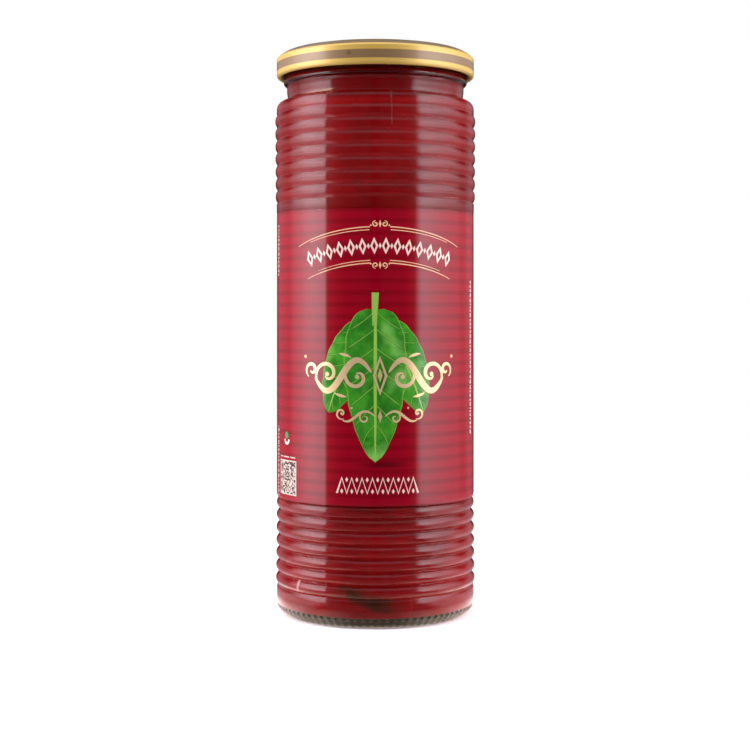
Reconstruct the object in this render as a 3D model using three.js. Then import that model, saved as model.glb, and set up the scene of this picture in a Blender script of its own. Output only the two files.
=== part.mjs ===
import * as THREE from "three";

// A tall glass jar of passata: round ribs above and below a plain panel, a twist-off lid
// and a label wrapped round the panel.
// Millimetres, +Z up, with the origin at the middle of the base.

// Driving dimensions
const BODY_RADIUS = 35;
const LID_TOP = 197.7;
const LID_HEIGHT = 9.0;
const BODY_WALL = 3.0;
const NECK_WALL = 2.6;
const CLEARANCE = 0.3;
const SIDES = 36;

// Label and the glass panel behind it
const LABEL_RADIUS = BODY_RADIUS + 0.05;
const LABEL_THICKNESS = 0.2;
const LABEL_BOTTOM = 41.2;
const LABEL_TOP = 140.6;
const PANEL_RADIUS = LABEL_RADIUS - LABEL_THICKNESS - CLEARANCE;
const PANEL_BOTTOM = 41.0;
const PANEL_TOP = 144.4;

// Rows of ribs, each rib a round bulge between two sharp valleys. Crests and valleys are given for
// the lowest rib and for the highest one.
const LOWER_RIBS = {
  count: 7,
  pitch: 4.45,
  lowestCrest: 12.18,
  crestRadius: [35.4, 35.05],
  valleyRadius: [33.85, 33.85],
};
const UPPER_RIBS = {
  count: 7,
  pitch: 4.44,
  lowestCrest: 146.7,
  crestRadius: [35.4, 35.55],
  valleyRadius: [34.65, 34.7],
};
const RIB_POINTS = [0, 0.25, 0.5, 0.75];
const PLAIN_WALL_START = 0.6;

// Foot of the jar
const HEEL_HEIGHT = 6.6;
const HEEL_REACH = 4.8;
const CONTACT_OUTER = BODY_RADIUS - HEEL_REACH;
const CONTACT_INNER = 28.0;
const PUSH_UP_RADIUS = 24.5;
const PUSH_UP_EDGE = 1.8;
const PUSH_UP_MIDDLE = 2.6;

// Inside of the glass
const FLOOR_HEIGHT = 3.2;
const FLOOR_CORNER = 4.2;
const FLOOR_RISE_RADIUS = 22.5;
const FLOOR_RISE_EDGE = 1.4;
const SHOULDER_INSIDE_DROP = 1.5;

// Shoulder and neck
const SHOULDER_BOTTOM = 176.8;
const SHOULDER_TOP = 180.45;
const SHOULDER_SQUARENESS = 2.6;
const NECK_WAIST = 31.0;
const NECK_RADIUS = 31.35;
const NECK_FLARE_HEIGHT = 3.4;
const BEAD_RADIUS = 32.5;
const BEAD_BOTTOM = 186.0;
const BEAD_TOP = 187.9;
const FINISH_RADIUS = 31.9;
const FINISH_BOTTOM = 188.4;
const RIM_ROUNDING = 1.6;

// Lid
const LID_RADIUS = BODY_RADIUS;
const LID_STEEL = 0.8;
const LID_GASKET = 0.4;
const LID_SHOULDER_REACH = 4.2;
const LID_SHOULDER_RISE = 2.5;
const LID_SHOULDER_SQUARENESS = 1.3;
const LID_RING_INNER = 29.2;
const LID_PANEL_STEP = 0.7;
const BUTTON_RADIUS = 13;
const BUTTON_STEP = 0.4;
const STEP_RUN = 0.9;
const CURL_RADIUS = 1.05;

// Passata
const FILL_LEVEL = 190.4;

function point(radius, height) {
  return new THREE.Vector2(radius, height);
}

// Points along part of an ellipse, from one angle to another in degrees: 0 is outwards, 90 is up.
// A squareness of 2 is the ellipse itself, more is nearer to a box, and 1 is a straight chamfer.
function arc(centreRadius, centreHeight, reach, rise, from, to, steps, squareness = 2) {
  const bend = (value) => Math.sign(value) * Math.abs(value) ** (2 / squareness);
  const points = [];
  for (let i = 0; i <= steps; i++) {
    const angle = THREE.MathUtils.degToRad(from + ((to - from) * i) / steps);
    const outwards = reach * bend(Math.cos(angle));
    const upwards = rise * bend(Math.sin(angle));
    points.push(point(centreRadius + outwards, centreHeight + upwards));
  }
  return points;
}

// A row of ribs, from its lowest valley to its highest one.
function ribs({ count, pitch, lowestCrest, crestRadius, valleyRadius }) {
  const points = [];
  for (let rib = 0; rib < count; rib++) {
    const share = rib / (count - 1);
    const crest = THREE.MathUtils.lerp(crestRadius[0], crestRadius[1], share);
    const valley = THREE.MathUtils.lerp(valleyRadius[0], valleyRadius[1], share);
    const foot = lowestCrest + (rib - 0.5) * pitch;
    for (const climb of RIB_POINTS) {
      const bulge = 1 - (2 * climb - 1) ** 2;
      points.push(point(valley + (crest - valley) * bulge, foot + climb * pitch));
    }
  }
  points.push(point(valleyRadius[1], lowestCrest + (count - 0.5) * pitch));
  return points;
}

// The inside of the glass from the middle of its floor up to the given height in the neck, drawn
// in by a gap on every side.
function insideProfile(gap, top) {
  const body = BODY_RADIUS - BODY_WALL - gap;
  const neck = NECK_WAIST - NECK_WALL - gap;
  const floor = FLOOR_HEIGHT + gap;
  const shoulder = SHOULDER_BOTTOM - SHOULDER_INSIDE_DROP;
  return [
    point(0, floor + PUSH_UP_MIDDLE),
    point(FLOOR_RISE_RADIUS, floor + FLOOR_RISE_EDGE),
    ...arc(body - FLOOR_CORNER, floor + FLOOR_CORNER, FLOOR_CORNER, FLOOR_CORNER, -90, 0, 4),
    point(body, shoulder),
    ...arc(neck, shoulder, body - neck, SHOULDER_TOP - SHOULDER_BOTTOM, 30, 90, 2),
    point(neck, top),
  ];
}

// The twist-off finish: narrow neck, bead below the lid, and the rim that the lid seals on.
function finishProfile(rimTop) {
  const beadHalf = (BEAD_TOP - BEAD_BOTTOM) / 2;
  const rimCentre = FINISH_RADIUS - RIM_ROUNDING;
  return [
    point(NECK_RADIUS, SHOULDER_TOP + NECK_FLARE_HEIGHT),
    ...arc(NECK_RADIUS, BEAD_BOTTOM + beadHalf, BEAD_RADIUS - NECK_RADIUS, beadHalf, -90, 60, 5),
    point(FINISH_RADIUS, FINISH_BOTTOM),
    ...arc(rimCentre, rimTop - RIM_ROUNDING, RIM_ROUNDING, RIM_ROUNDING, 0, 90, 2),
  ];
}

function jarProfile() {
  const rimTop = LID_TOP - LID_STEEL - LID_GASKET - CLEARANCE;
  const plainWallTop = LOWER_RIBS.lowestCrest - PLAIN_WALL_START * LOWER_RIBS.pitch;
  const highestCrest = UPPER_RIBS.lowestCrest + (UPPER_RIBS.count - 1) * UPPER_RIBS.pitch;
  const shoulderReach = BODY_RADIUS - NECK_WAIST;
  const shoulderRise = SHOULDER_TOP - SHOULDER_BOTTOM;
  return [
    point(0, PUSH_UP_MIDDLE),
    point(PUSH_UP_RADIUS, PUSH_UP_EDGE),
    point(CONTACT_INNER, 0),
    ...arc(CONTACT_OUTER, HEEL_HEIGHT, HEEL_REACH, HEEL_HEIGHT, -90, 0, 5),
    point(BODY_RADIUS, plainWallTop),
    ...ribs(LOWER_RIBS),
    point(PANEL_RADIUS, PANEL_BOTTOM),
    point(PANEL_RADIUS, PANEL_TOP),
    ...ribs(UPPER_RIBS),
    point(BODY_RADIUS, highestCrest + PLAIN_WALL_START * UPPER_RIBS.pitch),
    ...arc(NECK_WAIST, SHOULDER_BOTTOM, shoulderReach, shoulderRise, 0, 90, 5, SHOULDER_SQUARENESS),
    ...finishProfile(rimTop),
    ...insideProfile(0, rimTop - RIM_ROUNDING).reverse(),
  ];
}

function lidProfile() {
  const skirtInner = LID_RADIUS - LID_STEEL;
  const gasketUnder = LID_TOP - LID_STEEL - LID_GASKET;
  const panelTop = LID_TOP - LID_PANEL_STEP;
  const panelUnder = panelTop - LID_STEEL;
  const curlCentre = LID_RADIUS - CURL_RADIUS;
  const curlHeight = LID_TOP - LID_HEIGHT + CURL_RADIUS;
  const topEdge = LID_RADIUS - LID_SHOULDER_REACH;
  const shoulderFoot = LID_TOP - LID_SHOULDER_RISE;
  return [
    point(0, panelUnder - BUTTON_STEP),
    point(BUTTON_RADIUS - STEP_RUN, panelUnder - BUTTON_STEP),
    point(BUTTON_RADIUS, panelUnder),
    point(LID_RING_INNER - 3 * STEP_RUN, panelUnder),
    point(LID_RING_INNER - 2 * STEP_RUN, gasketUnder),
    point(topEdge, gasketUnder),
    point(skirtInner, shoulderFoot - LID_STEEL),
    point(skirtInner, curlHeight + 2 * CURL_RADIUS),
    ...arc(curlCentre, curlHeight, CURL_RADIUS, CURL_RADIUS, -200, 0, 5),
    ...arc(topEdge, shoulderFoot, LID_SHOULDER_REACH, LID_SHOULDER_RISE, 0, 90, 5, LID_SHOULDER_SQUARENESS),
    point(LID_RING_INNER, LID_TOP),
    point(LID_RING_INNER - STEP_RUN, panelTop),
    point(BUTTON_RADIUS + STEP_RUN, panelTop),
    point(BUTTON_RADIUS, panelTop - BUTTON_STEP),
    point(0, panelTop - BUTTON_STEP),
  ];
}

function labelProfile() {
  const inner = LABEL_RADIUS - LABEL_THICKNESS;
  return [
    point(inner, LABEL_BOTTOM),
    point(LABEL_RADIUS, LABEL_BOTTOM),
    point(LABEL_RADIUS, LABEL_TOP),
    point(inner, LABEL_TOP),
    point(inner, LABEL_BOTTOM),
  ];
}

function passataProfile() {
  return [...insideProfile(CLEARANCE, FILL_LEVEL), point(0, FILL_LEVEL)];
}

// A piece turned about the jar's upright axis.
function turned(name, profile, material) {
  const mesh = new THREE.Mesh(new THREE.LatheGeometry(profile, SIDES), material);
  mesh.name = name;
  mesh.rotation.x = Math.PI / 2;
  return mesh;
}

const glass = new THREE.MeshStandardMaterial({
  color: 0xdfe4e0,
  roughness: 0.04,
  metalness: 0,
  transparent: true,
  opacity: 0.35,
});
const sauce = new THREE.MeshStandardMaterial({ color: 0x8f0f10, roughness: 0.5, metalness: 0 });
const gold = new THREE.MeshStandardMaterial({ color: 0xc09a4b, roughness: 0.3, metalness: 0.9 });
const film = new THREE.MeshStandardMaterial({ color: 0x86041a, roughness: 0.35, metalness: 0 });

const group = new THREE.Group();
group.add(turned("jar", jarProfile(), glass));
group.add(turned("passata", passataProfile(), sauce));
group.add(turned("lid", lidProfile(), gold));
group.add(turned("label", labelProfile(), film));

export default group;
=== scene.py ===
import math
import random

import bpy
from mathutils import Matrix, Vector


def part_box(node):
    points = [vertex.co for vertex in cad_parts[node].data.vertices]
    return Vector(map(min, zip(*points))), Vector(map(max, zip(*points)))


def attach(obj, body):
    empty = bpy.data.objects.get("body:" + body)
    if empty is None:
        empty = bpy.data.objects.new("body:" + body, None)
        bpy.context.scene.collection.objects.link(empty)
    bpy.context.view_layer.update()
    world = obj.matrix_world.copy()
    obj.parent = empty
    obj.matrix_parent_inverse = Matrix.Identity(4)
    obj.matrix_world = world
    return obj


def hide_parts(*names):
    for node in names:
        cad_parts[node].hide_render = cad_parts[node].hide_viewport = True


# A tall ribbed glass jar of passata with a gold twist-off lid and a red label.
# Metres, +Z up, with the origin at the middle of the base. The front of the label faces -Y.

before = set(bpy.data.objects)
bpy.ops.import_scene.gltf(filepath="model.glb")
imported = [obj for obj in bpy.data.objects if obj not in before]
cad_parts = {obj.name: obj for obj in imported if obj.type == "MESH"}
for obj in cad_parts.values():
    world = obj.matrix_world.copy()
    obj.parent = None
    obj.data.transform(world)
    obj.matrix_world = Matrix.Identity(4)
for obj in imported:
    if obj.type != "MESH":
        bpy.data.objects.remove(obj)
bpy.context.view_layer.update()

# Sizes that the frame gives. The glass is wider inside than the sauce there, by the clearance.
jar_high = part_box("jar")[1]
sauce_low, sauce_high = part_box("passata")
lid_low, lid_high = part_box("lid")
label_low, label_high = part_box("label")
RIM_TOP = jar_high.z
FILL_LEVEL = sauce_high.z
LID_RADIUS = lid_high.x
LID_TOP = lid_high.z
LID_BOTTOM = lid_low.z
LABEL_RADIUS = label_high.x
LABEL_BOTTOM = label_low.z
LABEL_TOP = label_high.z
CLEARANCE = 0.0003
INNER_RADIUS = sauce_high.x + CLEARANCE

# Glass
BODY_RADIUS = 0.035
GLASS_SIDES = 316
PANEL_RADIUS = 0.03483
PANEL_BOTTOM = 0.041
PANEL_TOP = 0.1444
RIB_PITCH_LOW = 0.00445
RIB_PITCH_HIGH = 0.00444
RIB_COUNT = 7
PLAIN_WALL_START = 0.6
LOWER_RIBS = dict(lowest=0.01218, pitch=RIB_PITCH_LOW, crest=(0.0354, 0.03505), valley=(0.03385, 0.03385))
UPPER_RIBS = dict(lowest=0.1467, pitch=RIB_PITCH_HIGH, crest=(0.0354, 0.03555), valley=(0.03465, 0.0347),
                  groove=0.00006)
# Shares of a rib's height at which its profile has points, without a groove and with one
RIB_CLIMBS = (0.0, 0.035, 0.12, 0.25, 0.38, 0.5, 0.62, 0.75, 0.88, 0.965)
GROOVED_CLIMBS = (
    0.0, 0.04, 0.14, 0.25, 0.34, 0.41, 0.44, 0.465, 0.49,
    0.51, 0.535, 0.56, 0.59, 0.66, 0.75, 0.86, 0.96,
)
GROOVE_WIDTH = 0.07
HEEL_HEIGHT = 0.0066
HEEL_REACH = 0.0048
CONTACT_OUTER = BODY_RADIUS - HEEL_REACH
CONTACT_INNER = 0.028
PUSH_UP_RADIUS = 0.0245
PUSH_UP_EDGE = 0.0018
PUSH_UP_MIDDLE = 0.0026
FLOOR_HEIGHT = 0.0032
FLOOR_CORNER = 0.0042
FLOOR_RISE_RADIUS = 0.0225
FLOOR_RISE_EDGE = 0.0014
SHOULDER_BOTTOM = 0.1768
SHOULDER_TOP = 0.18045
SHOULDER_SQUARENESS = 2.6
SHOULDER_INSIDE_DROP = 0.0015
NECK_WAIST = 0.031
NECK_WALL = 0.0026
NECK_RADIUS = 0.03135
NECK_FLARE_HEIGHT = 0.0034
BEAD_RADIUS = 0.0325
BEAD_BOTTOM = 0.186
BEAD_TOP = 0.1879
FINISH_RADIUS = 0.0319
FINISH_BOTTOM = 0.1884
RIM_ROUNDING = 0.0016
# Step of the small roundings between one form and the next
EASE = 0.0002
WALL_TOP_DRAW = 0.00012
INSIDE_WALL_POINTS = (0.06, 0.12)

# Seam of the mould
SEAM_FRONT = 9
SEAM_LOW = 0.1685
# Its section: how far aside, and how far out of the glass
SEAM_SECTION = ((-0.00007, -0.00002), (0, 0.00003), (0.00007, -0.00002), (0, -0.00008))

# Knurls round the foot
KNURL_COUNT = 79
KNURL_DEPTH = 0.0007
KNURL_TOP = 0.0035
KNURL_FADE = 0.0005
KNURL_INNER = 0.0301

# Passata
SAUCE_SIDES = 160
WALL_BITE = 0.00025

# Lid
LID_SIDES = 256
LID_STEEL = 0.0008
LID_GASKET = 0.0004
LID_SHOULDER_REACH = 0.0042
LID_SHOULDER_RISE = 0.0025
LID_SHOULDER_SQUARENESS = 1.3
LID_RING_INNER = 0.0292
LID_PANEL_STEP = 0.0007
BUTTON_RADIUS = 0.013
BUTTON_STEP = 0.0004
STEP_RUN = 0.0009
CURL_RADIUS = 0.00105
LID_EASE = 0.00004
BAND_BOTTOM = 0.1908
BAND_TOP = 0.1937
BAND_EDGE = 0.00012
LID_MARK_RUN = -8.87
LID_MARK_HEIGHT = 192.57

# Camera of the photo
CAMERA_DISTANCE = 0.53655
CAMERA_HEIGHT = 0.10689
CAMERA_LENS = 72.336
CAMERA_SENSOR = 36
CAMERA_CLIP = (0.01, 50)
CAMERA_SHIFT = (-0.0004, -0.0875)

# Label
LABEL_SIDES = 240
LABEL_FILM = 0.0002
LABEL_EDGE = 0.00005
SEAM_ANGLE = math.radians(180)
SEAM_OVERLAP = math.radians(11)
SEAM_STEP = math.radians(1.2)
SEAM_LIFT = 0.00012
STRIPE_PITCH = 0.003985
STRIPE_START = 0.0029
PRINT_LIFT = 0.00004
PRINT_SINK = 0.00003

# Print, in millimetres: round the label from its front, positive to the right, and up
PRINT_MIDDLE = 1.6
CODE_PANEL = (-43.0, -30.9, 43.1, 55.0)
CODE_CELLS = 22
CODE_STEP = 0.5
CODE_MARGIN = (0.55, 0.47)
CODE_LINE = (-42.6, -31.4, 55.9)
BACK_PANEL = (62.0, 98.0, 54.0, 128.0)
BACK_MARGIN = 3
BACK_FRAME = 0.5
BACK_ROWS = 13
BACK_ROW_STEP = 2.3
TABLE_ROWS = 9
TABLE_ROW_STEP = 2.7
BAR_PANEL = (-98.0, -70.0, 48.0, 66.0)
ICON_RUN = -37.1
ICON_LEAF = 63.6
ICON_BOWL = 62.2
# Upright rows of small bars at the label's sides: place round, bottom and top
SIDE_ROWS = ((-46.0, 118.7, 136.3), (-46.0, 41.9, 66.2), (43.55, 63.6, 117.3))
# Arches: half span, height at the ends, height in the middle, share left open in the middle, width
ARCHES = (
    (31.1, 128.2, 134.5, 0.11, 0.36),
    (25.4, 129.55, 133.5, 0.14, 0.27),
    (26.6, 117.2, 122.4, 0.12, 0.36),
    (22.0, 119.85, 123.3, 0.15, 0.27),
)
ARCH_STEPS = 24
# Small ornaments in the gaps of the arches: height, and which way up
ARCH_ORNAMENTS = ((135.4, 1), (121.6, -1))
# The row of lozenges between the arches: half span, height at its ends and in its middle
LOZENGE_ROW = (25.5, 124.0, 128.1)
LOZENGE_STEPS = 52
ZIGZAG_POINTS = 17
ZIGZAG_MIDDLE = 0.8
ZIGZAG_STEP = 1.75
ZIGZAG_BOTTOM = 45.5
ZIGZAG_RISE = 5.2
ZIGZAG_LOZENGES = (46.2, 50.1)
# Scrolls: middle, reach from and to, turn from and to, width at the ends and in the middle
ORNAMENT_HEIGHT = 84.8
ORNAMENT_SCROLLS = (
    ((7.7, 84.4), (5.2, 0.9), (105, -290), (0.25, 1.3)),
    ((18.4, 85.2), (5.2, 0.9), (-75, 320), (0.25, 1.3)),
    ((24.7, 86.6), (2.7, 0.6), (-60, 330), (0.3, 1.1)),
)
ORNAMENT_SPOTS = ((7.7, 84.4, 0.75), (18.4, 85.2, 0.75), (13.0, 84.8, 0.6), (27.6, 91.0, 0.5))
FLOURISH_HEIGHT = 71.2
FLOURISH_SCROLLS = (
    ((13.2, 72.1), (2.0, 0.5), (-115, 250), (0.2, 0.7)),
    ((5.2, 70.7), (1.9, 0.5), (80, -270), (0.2, 0.65)),
)
FLOURISH_SPOTS = ((13.2, 72.1, 0.4), (9.6, 74.0, 0.35))
LEAF_ROWS = 36
LEAF_COLUMNS = 12
STEM_PATH = ((-0.2, 101.5), (-0.2, 106), (-0.1, 109), (0.0, 112.5))
STEM_WIDTHS = (1.5, 1.9, 2.2, 2.4)

# Thin bodies at the edge of the sauce. Paths are degrees round and heights in millimetres, with half
# the body's height at each. The depth of their edges is in metres.
LEAF_PATH = ((-28.0, 13.8), (-21.0, 12.7), (-13.0, 10.7), (0.0, 8.2), (11.0, 7.2), (22.0, 7.0))
LEAF_HALVES = (2.3, 3.2, 4.3, 5.0, 4.6, 3.4)
LEAF_SINK = 0.00004
# A thin orange line on the sauce along the top of the shoulder
ORANGE_LINE_PATH = ((-58.0, 181.0), (-49.0, 181.1), (-42.0, 181.25), (-36.0, 181.4), (-31.0, 181.65), (-25.0, 182.1))
ORANGE_LINE_HALVES = (0.15, 0.4, 0.25, 0.48, 0.36, 0.1)
BUBBLE_HIGHLIGHT_PATH = ((-53.4, 12.4), (-52.4, 12.4), (-51.4, 12.4), (-50.4, 12.4))
BUBBLE_HIGHLIGHT_HALVES = (0.5, 1.2, 1.2, 0.5)
FINE_SINK = 0.00003
LOWEST_BLADE = 3.8
BLADE_COLUMNS = 8
BLADE_STEPS = 10
BLADE_PROUD = 0.00006


# Meshes

def new_object(name, points, faces, material, smooth=True, normals=None):
    mesh = bpy.data.meshes.new(name)
    mesh.from_pydata(points, [], faces)
    mesh.update()
    mesh.polygons.foreach_set("use_smooth", [smooth] * len(mesh.polygons))
    if normals:
        mesh.normals_split_custom_set_from_vertices(normals)
    mesh.materials.append(material)
    piece = bpy.data.objects.new(name, mesh)
    bpy.context.scene.collection.objects.link(piece)
    return piece


def finished(piece, slot, *nodes):
    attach(piece, "root")
    if nodes:
        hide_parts(*nodes)


def closed(front, count):
    """The faces of a thin solid: its front, the same points once more as its back, and its sides."""
    back = [tuple(count + corner for corner in reversed(face)) for face in front]
    edges = {edge for face in front for edge in zip(face, face[1:] + face[:1])}
    sides = [(b, a, count + a, count + b) for a, b in sorted(edges) if (b, a) not in edges]
    return front + back + sides


def grid(rows, columns):
    """The faces between the points of a grid."""
    width = columns + 1
    corners = [row * width + column for row in range(rows) for column in range(columns)]
    return [(low, low + width, low + width + 1, low + 1) for low in corners]


def set_places(piece, places):
    """Gives the material the place of each point, the same on the back as on the front."""
    layer = piece.data.uv_layers.new(name="place")
    for loop, spot in zip(piece.data.loops, layer.data):
        spot.uv = places[loop.vertex_index % len(places)]


def bent(value, squareness):
    return math.copysign(abs(value) ** (2 / squareness), value)


def arc(centre, reach, rise, start, end, steps, squareness=2.0):
    """Part of an ellipse in degrees, 0 outwards and 90 up.

    More squareness than 2 is nearer to a box, and a squareness of 1 is a chamfer.
    """
    points = []
    for i in range(steps + 1):
        angle = math.radians(start + (end - start) * i / steps)
        outwards = reach * bent(math.cos(angle), squareness)
        upwards = rise * bent(math.sin(angle), squareness)
        points.append((centre[0] + outwards, centre[1] + upwards))
    return points


def turned_to(angle, reach, height):
    """The point at a reach from the axis, at an angle from the front, positive to the right."""
    return (reach * math.sin(angle), -reach * math.cos(angle), height)


def lerp(a, b, share):
    return a + (b - a) * share


def smooth_step(low, high, value):
    share = min(max((value - low) / (high - low), 0), 1)
    return share * share * (3 - 2 * share)


def ribs(lowest, pitch, crest, valley, groove=0.0):
    """A row of round bulges, from its lowest valley to its highest one, with any groove along each crest."""
    points = []
    for rib in range(RIB_COUNT):
        share = rib / (RIB_COUNT - 1)
        low = lerp(*valley, share)
        high = lerp(*crest, share)
        for climb in GROOVED_CLIMBS if groove else RIB_CLIMBS:
            bulge = 1 - (2 * climb - 1) ** 2
            dip = groove * math.exp(-((climb - 0.5) / GROOVE_WIDTH) ** 2)
            points.append((low + (high - low) * bulge - dip, lowest + (rib - 0.5 + climb) * pitch))
    points.append((valley[1], lowest + (RIB_COUNT - 0.5) * pitch))
    return points


def inside_profile(gap, top):
    """The inside of the glass from its floor up to a height in the neck, drawn in by a gap."""
    body = INNER_RADIUS - gap
    neck = NECK_WAIST - NECK_WALL - gap
    floor = FLOOR_HEIGHT + gap
    shoulder = SHOULDER_BOTTOM - SHOULDER_INSIDE_DROP
    corner = (body - FLOOR_CORNER, floor + FLOOR_CORNER)
    return [
        (0.0, floor + PUSH_UP_MIDDLE),
        (FLOOR_RISE_RADIUS * 0.5, floor + lerp(FLOOR_RISE_EDGE, PUSH_UP_MIDDLE, 0.75)),
        (FLOOR_RISE_RADIUS, floor + FLOOR_RISE_EDGE),
        *arc(corner, FLOOR_CORNER, FLOOR_CORNER, -90, 0, 10),
        *[(body, height) for height in INSIDE_WALL_POINTS],
        (body, shoulder),
        *arc((neck, shoulder), body - neck, SHOULDER_TOP - SHOULDER_BOTTOM, 10, 90, 8),
        (neck, SHOULDER_TOP + NECK_FLARE_HEIGHT),
        (neck, top),
    ]


def jar_profile():
    heel = (CONTACT_OUTER, HEEL_HEIGHT)
    wall_top = LOWER_RIBS["lowest"] - PLAIN_WALL_START * RIB_PITCH_LOW
    highest = UPPER_RIBS["lowest"] + (RIB_COUNT - 1) * RIB_PITCH_HIGH
    shoulder = (NECK_WAIST, SHOULDER_BOTTOM)
    shoulder_reach = BODY_RADIUS - NECK_WAIST
    shoulder_rise = SHOULDER_TOP - SHOULDER_BOTTOM
    waist = SHOULDER_TOP + NECK_FLARE_HEIGHT
    bead = (NECK_RADIUS, (BEAD_BOTTOM + BEAD_TOP) / 2)
    bead_rise = (BEAD_TOP - BEAD_BOTTOM) / 2
    rim = (FINISH_RADIUS - RIM_ROUNDING, RIM_TOP - RIM_ROUNDING)
    return [
        (0.0, PUSH_UP_MIDDLE),
        (PUSH_UP_RADIUS * 0.5, lerp(PUSH_UP_EDGE, PUSH_UP_MIDDLE, 0.75)),
        (PUSH_UP_RADIUS, PUSH_UP_EDGE),
        (CONTACT_INNER - 2 * EASE, EASE),
        (CONTACT_INNER, 0.0),
        *arc(heel, HEEL_REACH, HEEL_HEIGHT, -90, -50, 10),
        *arc(heel, HEEL_REACH, HEEL_HEIGHT, -45, 0, 8),
        (BODY_RADIUS, wall_top - 2 * EASE),
        (BODY_RADIUS - WALL_TOP_DRAW, wall_top),
        *ribs(**LOWER_RIBS),
        (PANEL_RADIUS, PANEL_BOTTOM + EASE),
        (PANEL_RADIUS, (PANEL_BOTTOM + PANEL_TOP) / 2),
        (PANEL_RADIUS, LABEL_TOP),
        (BODY_RADIUS, LABEL_TOP + 3 * EASE),
        (BODY_RADIUS, PANEL_TOP - 2 * EASE),
        *ribs(**UPPER_RIBS),
        (BODY_RADIUS, highest + PLAIN_WALL_START * RIB_PITCH_HIGH),
        *arc(shoulder, shoulder_reach, shoulder_rise, 0, 86, 16, SHOULDER_SQUARENESS),
        (NECK_WAIST + EASE, SHOULDER_TOP + 1.5 * EASE),
        (NECK_WAIST, SHOULDER_TOP + 4 * EASE),
        (lerp(NECK_WAIST, NECK_RADIUS, 0.5), lerp(SHOULDER_TOP, waist, 0.6)),
        (NECK_RADIUS, waist),
        *arc(bead, BEAD_RADIUS - NECK_RADIUS, bead_rise, -90, 60, 10),
        (FINISH_RADIUS, FINISH_BOTTOM),
        *arc(rim, RIM_ROUNDING, RIM_ROUNDING, 0, 90, 5),
        *reversed(inside_profile(0.0, RIM_TOP - RIM_ROUNDING * 0.5)),
    ]


def lid_profile():
    skirt = LID_RADIUS - LID_STEEL
    gasket = LID_TOP - LID_STEEL - LID_GASKET
    panel = LID_TOP - LID_PANEL_STEP
    panel_under = panel - LID_STEEL
    curl = (LID_RADIUS - CURL_RADIUS, LID_BOTTOM + CURL_RADIUS)
    top_edge = LID_RADIUS - LID_SHOULDER_REACH
    foot = LID_TOP - LID_SHOULDER_RISE
    return [
        (0.0, panel_under - BUTTON_STEP),
        (BUTTON_RADIUS - STEP_RUN, panel_under - BUTTON_STEP),
        (BUTTON_RADIUS, panel_under),
        (LID_RING_INNER - 3 * STEP_RUN, panel_under),
        (LID_RING_INNER - 2 * STEP_RUN, gasket),
        (top_edge, gasket),
        (skirt, foot - LID_STEEL),
        (skirt, curl[1] + 2 * CURL_RADIUS),
        *arc(curl, CURL_RADIUS, CURL_RADIUS, -200, 0, 18),
        (LID_RADIUS, lerp(curl[1], foot, 0.5)),
        *arc((top_edge, foot), LID_SHOULDER_REACH, LID_SHOULDER_RISE, 0, 90, 16, LID_SHOULDER_SQUARENESS),
        *arc((LID_RING_INNER, LID_TOP - STEP_RUN / 3), STEP_RUN / 3, STEP_RUN / 3, 90, 160, 4),
        (LID_RING_INNER - STEP_RUN * 0.7, panel + 2.5 * LID_EASE),
        (LID_RING_INNER - STEP_RUN, panel),
        (BUTTON_RADIUS + STEP_RUN, panel),
        (BUTTON_RADIUS + STEP_RUN * 0.8, panel - LID_EASE),
        (BUTTON_RADIUS + STEP_RUN * 0.2, panel - BUTTON_STEP + LID_EASE),
        (BUTTON_RADIUS, panel - BUTTON_STEP),
        (BUTTON_RADIUS * 0.5, panel - BUTTON_STEP * 0.9),
        (0.0, panel - BUTTON_STEP * 0.85),
    ]


def profile_normals(profile):
    """The outward normal at each point of a profile. A longer stretch beside the point counts for more."""
    normals = []
    for index in range(len(profile)):
        outwards = upwards = 0.0
        for near, far in ((index - 1, index), (index, index + 1)):
            if near >= 0 and far < len(profile):
                outwards += profile[far][1] - profile[near][1]
                upwards -= profile[far][0] - profile[near][0]
        length = math.hypot(outwards, upwards) or 1.0
        normals.append((outwards / length, upwards / length))
    return normals


def turned(name, profile, sides, material, shape=None):
    """A piece turned about the jar's axis from a profile that starts and ends on the axis."""
    start, *rings, end = profile
    points = []
    normals = []
    slopes = profile_normals(profile)
    for (radius, height), (outwards, upwards) in zip(rings, slopes[1:-1]):
        for side in range(sides):
            angle = 2 * math.pi * side / sides
            reach = shape(radius, height, angle) if shape else radius
            points.append(turned_to(angle, reach, height))
            normals.append(turned_to(angle, outwards, upwards))
    faces = []
    for ring in range(len(rings) - 1):
        low = ring * sides
        for side in range(sides):
            after = (side + 1) % sides
            faces.append((low + side, low + after, low + sides + after, low + sides + side))
    first = len(points)
    points.append((0, 0, start[1]))
    points.append((0, 0, end[1]))
    normals.append((0, 0, -1))
    normals.append((0, 0, 1))
    top = (len(rings) - 1) * sides
    for side in range(sides):
        after = (side + 1) % sides
        faces.append((first, after, side))
        faces.append((first + 1, top + side, top + after))
    return new_object(name, points, faces, material, normals=None if shape else normals)


# Materials

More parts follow.
